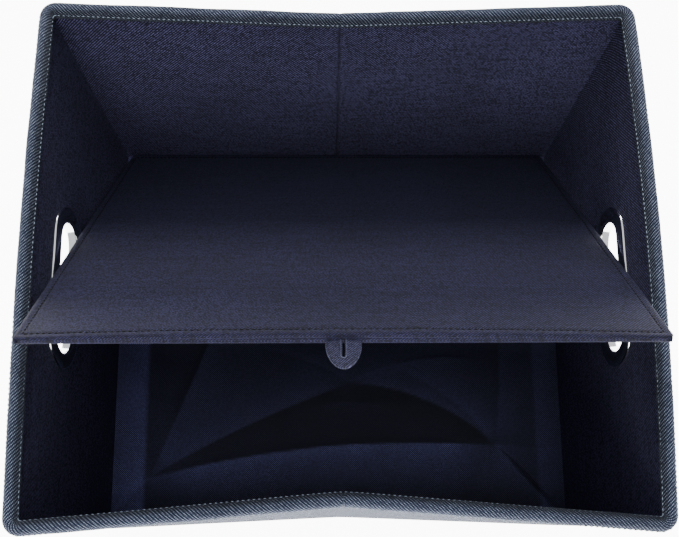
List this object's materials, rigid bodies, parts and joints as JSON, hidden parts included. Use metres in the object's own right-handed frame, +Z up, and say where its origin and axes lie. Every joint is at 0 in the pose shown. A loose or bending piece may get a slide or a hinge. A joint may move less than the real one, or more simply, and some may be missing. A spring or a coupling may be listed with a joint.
{
  "type": "fabric storage bin",
  "caption": "Open-top collapsible fabric bin with padded rim, oval metal hand-holes and a lift-out base board with a pull tab.",
  "frame": {"origin": "centre of the underside", "axes": "+X across the bin from its left wall to its right wall, +Y to the back, +Z up"},
  "size_m": [0.3844, 0.3334, 0.234],
  "materials": {
    "indigo_lining": "indigo cotton twill",
    "denim_cover": "blue-grey denim",
    "denim_binding": "lighter blue-grey denim with pale diagonal threads",
    "oxford_floor": "fine woven navy oxford cloth",
    "board_sleeve": "indigo twill, lighter along its folded edge",
    "tab_fabric": "doubled twill with a stitched border",
    "stiffener_board": "greyboard",
    "chrome_grommet": "polished"
  },
  "bodies": {
    "left_wall": {"floor_sheet": "oxford_floor", "left_panel_board": "stiffener_board", "left_lining": "indigo_lining", "left_cover": "denim_cover", "left_rim_binding": "denim_binding", "left_grommet_face": "chrome_grommet", "left_grommet_back": "chrome_grommet"},
    "right_wall": {"right_panel_board": "stiffener_board", "right_lining": "indigo_lining", "right_cover": "denim_cover", "right_rim_binding": "denim_binding", "right_grommet_face": "chrome_grommet", "right_grommet_back": "chrome_grommet"},
    "back_left_half": {"back_left_panel_board": "stiffener_board", "back_left_lining": "indigo_lining", "back_left_cover": "denim_cover", "back_left_rim_binding": "denim_binding"},
    "back_right_half": {"back_right_panel_board": "stiffener_board", "back_right_lining": "indigo_lining", "back_right_cover": "denim_cover", "back_right_rim_binding": "denim_binding"},
    "front_left_half": {"front_left_panel_board": "stiffener_board", "front_left_lining": "indigo_lining", "front_left_cover": "denim_cover", "front_left_rim_binding": "denim_binding"},
    "front_right_half": {"front_right_panel_board": "stiffener_board", "front_right_lining": "indigo_lining", "front_right_cover": "denim_cover", "front_right_rim_binding": "denim_binding"},
    "board_hem": {"base_board_rear_hem": "board_sleeve"},
    "board": {"base_board_core": "stiffener_board", "base_board_sleeve": "board_sleeve", "pull_tab_sewn_end": "tab_fabric"},
    "tab": {"pull_tab": "tab_fabric"}
  },
  "joints": [
    {"name": "board_lift_out", "type": "slide", "parent": "left_wall", "child": "board_hem", "axis": [0, -0.25, 0.9682], "range_m": [0, 0.95], "deforming": ["floor_sheet"]},
    {"name": "board_tilt", "type": "hinge", "parent": "board_hem", "child": "board", "pos_m": [0, 0.1585, 0.0036], "axis": [-1, 0, 0], "range_deg": [-44.8, 40]},
    {"name": "pull_tab_swing", "type": "hinge", "parent": "board", "child": "tab", "pos_m": [0, -0.06548, 0.22554], "axis": [-1, 0, 0], "range_deg": [-100, 111]},
    {"name": "back_left_corner", "type": "hinge", "parent": "left_wall", "child": "back_left_half", "pos_m": [-0.18425, 0.15925, 0.095], "axis": [0, 0, -1], "range_deg": [0, 50]},
    {"name": "back_crease", "type": "hinge", "parent": "back_left_half", "child": "back_right_half", "pos_m": [0, 0.16675, 0.095], "axis": [0, 0, 1], "range_deg": [0, 100]},
    {"name": "back_right_corner", "type": "hinge", "parent": "back_right_half", "child": "right_wall", "pos_m": [0.18425, 0.15925, 0.095], "axis": [0, 0, -1], "range_deg": [0, 50]},
    {"name": "front_left_corner", "type": "hinge", "parent": "left_wall", "child": "front_left_half", "pos_m": [-0.18425, -0.15925, 0.095], "axis": [0, 0, 1], "range_deg": [0, 50]},
    {"name": "front_right_corner", "type": "hinge", "parent": "right_wall", "child": "front_right_half", "pos_m": [0.18425, -0.15925, 0.095], "axis": [0, 0, -1], "range_deg": [0, 50]}
  ],
  "couplings": [
    {"joint": "pull_tab_swing", "follows": "board_tilt", "ratio": -2.45},
    {"joint": "back_left_corner", "follows": "board_lift_out", "rad_per_m": 0.9185},
    {"joint": "back_right_corner", "follows": "board_lift_out", "rad_per_m": 0.9185},
    {"joint": "front_left_corner", "follows": "board_lift_out", "rad_per_m": 0.9185},
    {"joint": "front_right_corner", "follows": "board_lift_out", "rad_per_m": 0.9185},
    {"joint": "back_crease", "follows": "board_lift_out", "rad_per_m": 1.837}
  ]
}
